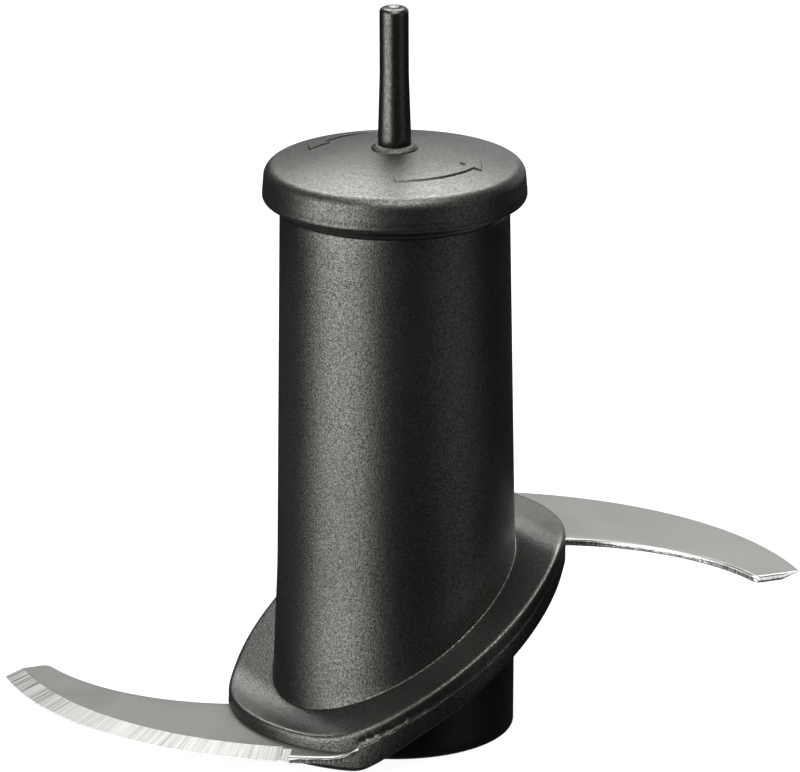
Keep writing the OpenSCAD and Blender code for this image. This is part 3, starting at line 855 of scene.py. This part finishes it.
# inner pieces keep their made shape, with softened edges
inner = {"drive_core": CORE, "drive_insert": BRASS, "spindle_ring": SILICONE, "thrust_plate": FASTENER,
         "core_screws": FASTENER, "cap_seal": RUBBER, "pin_clip": FASTENER}
for name, m in inner.items():
    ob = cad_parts[name]
    ob.data.materials.clear()
    ob.data.materials.append(m)
    weld = ob.modifiers.new("weld", "WELD")
    weld.merge_threshold = 1e-6
    if name not in ("spindle_ring", "cap_seal"):
        bev = ob.modifiers.new("edge", "BEVEL")
        bev.width, bev.segments, bev.limit_method, bev.angle_limit = 0.00012, 2, "ANGLE", math.radians(40)

# --------------------------------------------------------------- the stage
VIEW = math.radians(22.0)


def from_view(x, y, z):
    """Point given as right, away and up of the photograph's view, in metres."""
    return Vector((x * math.cos(VIEW) + y * math.sin(VIEW), -x * math.sin(VIEW) + y * math.cos(VIEW), z))


cam_data = bpy.data.cameras.new("camera")
cam = bpy.data.objects.new("camera", cam_data)
scene.collection.objects.link(cam)
scene.camera = cam
FOCAL_PX, DIST, RISE = 7269.8, 1.02054, 0.38221
pitch, yaw, roll = math.radians(17.910), math.radians(0.0366), math.radians(-0.2272)
fw = Vector((math.sin(yaw) * math.cos(pitch), math.cos(yaw) * math.cos(pitch), -math.sin(pitch)))
right = Vector((math.cos(yaw), -math.sin(yaw), 0))
up = right.cross(fw)
r2 = right * math.cos(roll) + up * math.sin(roll)
u2 = -right * math.sin(roll) + up * math.cos(roll)
rows3 = [from_view(*v) for v in (r2, u2, -fw)]
cam.matrix_world = Matrix.Translation(from_view(0, -DIST, RISE)) @ Matrix(rows3).transposed().to_4x4()
cam_data.sensor_fit = "HORIZONTAL"
cam_data.sensor_width = 36.0
cam_data.lens = FOCAL_PX * 36.0 / 800.0
cam_data.clip_start, cam_data.clip_end = 0.05, 20.0
cam_data.dof.use_dof = False

floor_me = bpy.data.meshes.new("floor")
bm = bmesh.new()
bmesh.ops.create_grid(bm, x_segments=2, y_segments=2, size=4.0)
bm.to_mesh(floor_me)
bm.free()
floor = solid("floor", floor_me)
floor.location.z = -0.00002
fm = bpy.data.materials.new("floor_white")
fm.use_nodes = True
fm.cycles.emission_sampling = "NONE"
fnt = fm.node_tree
fnt.nodes.clear()
out = fnt.nodes.new("ShaderNodeOutputMaterial")
glow = fnt.nodes.new("ShaderNodeEmission")
glow.inputs["Color"].default_value = (1, 1, 1, 1)
glow.inputs["Strength"].default_value = 0.96
matte = fnt.nodes.new("ShaderNodeBsdfDiffuse")
matte.inputs["Color"].default_value = (0.10, 0.10, 0.10, 1)
add = fnt.nodes.new("ShaderNodeAddShader")
clear = fnt.nodes.new("ShaderNodeBsdfTransparent")
geo = fnt.nodes.new("ShaderNodeNewGeometry")
pick = fnt.nodes.new("ShaderNodeMixShader")
fnt.links.new(glow.outputs[0], add.inputs[0])
fnt.links.new(matte.outputs[0], add.inputs[1])
fnt.links.new(geo.outputs["Backfacing"], pick.inputs[0])
fnt.links.new(add.outputs[0], pick.inputs[1])
fnt.links.new(clear.outputs[0], pick.inputs[2])
fnt.links.new(pick.outputs[0], out.inputs[0])
floor_me.materials.append(fm)
floor.visible_diffuse = False
floor.visible_glossy = False


def softbox(name, x, y, z, w, h, watts, aim=(0, 0, 0.055), spread_deg=180):
    d = bpy.data.lights.new(name, "AREA")
    d.shape, d.size, d.size_y, d.energy = "RECTANGLE", w, h, watts
    d.spread = math.radians(spread_deg)
    o = bpy.data.objects.new(name, d)
    scene.collection.objects.link(o)
    o.location = from_view(x, y, z)
    look = (from_view(*aim) - o.location).normalized()
    o.rotation_mode = "QUATERNION"
    o.rotation_quaternion = look.to_track_quat("-Z", "Y")
    o.visible_camera = False
    return o


softbox("key_left", -0.85, -0.62, 0.10, 1.05, 0.95, 31.0)
softbox("fill_right", 0.92, -0.50, 0.22, 0.70, 0.8, 1.7)
softbox("overhead_back", 0.0, 0.56, 0.99, 1.0, 0.72, 34.0)
softbox("overhead_front", 0.05, -0.40, 1.10, 0.7, 0.75, 16.0)
softbox("front_high", 0.15, -0.66, 0.96, 0.8, 0.45, 9.0)
softbox("back_card", 0.85, 1.4, 0.34, 1.8, 0.85, 3.2)
# light thrown up by the table beside the hub
softbox("table_right", 0.156, -0.09, 0.001, 0.12, 0.12, 0.032, aim=(0.156, -0.09, 1.0))
softbox("table_left", -0.16, 0.06, 0.001, 0.16, 0.20, 0.014, aim=(-0.16, 0.06, 1.0))

world = bpy.data.worlds.new("studio")
scene.world = world
world.use_nodes = True
wn = world.node_tree
wn.nodes.clear()
wo = wn.nodes.new("ShaderNodeOutputWorld")
dim = wn.nodes.new("ShaderNodeBackground")
dim.inputs["Color"].default_value = (1, 1, 1, 1)
# soft light from straight below, for the underside
sky = node(wn, "ShaderNodeSeparateXYZ")
wn.links.new(node(wn, "ShaderNodeTexCoord").outputs["Generated"], sky.inputs[0])
wn.links.new(spread(wn, sky.outputs[2], 0.40, 0.02, -0.95, -0.60), dim.inputs["Strength"])
white = wn.nodes.new("ShaderNodeBackground")
white.inputs["Color"].default_value = (1, 1, 1, 1)
white.inputs["Strength"].default_value = 1.0
path = wn.nodes.new("ShaderNodeLightPath")
mixw = wn.nodes.new("ShaderNodeMixShader")
wn.links.new(path.outputs["Is Camera Ray"], mixw.inputs[0])
wn.links.new(dim.outputs[0], mixw.inputs[1])
wn.links.new(white.outputs[0], mixw.inputs[2])
wn.links.new(mixw.outputs[0], wo.inputs[0])

scene.view_settings.view_transform = "Standard"
scene.view_settings.look = "None"
